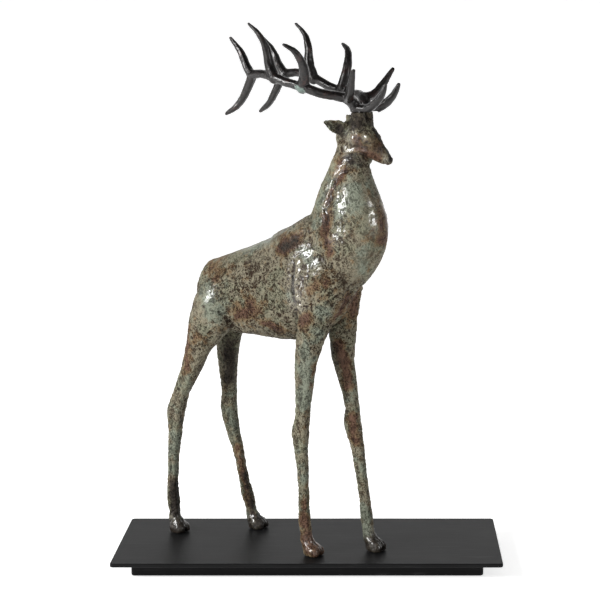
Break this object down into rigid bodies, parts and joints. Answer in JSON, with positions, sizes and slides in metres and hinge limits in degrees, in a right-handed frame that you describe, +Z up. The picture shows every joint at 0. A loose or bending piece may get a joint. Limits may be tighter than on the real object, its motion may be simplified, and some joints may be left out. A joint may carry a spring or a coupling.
{
  "type": "stag sculpture",
  "caption": "Standing stag with long branching antlers on a thin black plate over a smaller slab, cast figure with a brown and green patina.",
  "frame": {"origin": "centre of the slab's underside", "axes": "+Z up; +X along the plate's long side, towards the end the stag faces; +Y towards the back of the plate"},
  "size_m": [0.421, 0.1884, 0.5913],
  "materials": {
    "patina_metal": "cast bronze, rough hand-worked skin, brown and grey-green patina, waxed",
    "dark_metal": "cast bronze, smoother, near-black brown patina, waxed",
    "black_metal": "steel sheet, satin black, faintly brushed lengthwise",
    "black_board": "satin black paint"
  },
  "bodies": {
    "root": {"stag": "patina_metal", "antler_left": "dark_metal", "antler_right": "dark_metal", "base_plate": "black_metal", "base_slab": "black_board"}
  },
  "joints": []
}
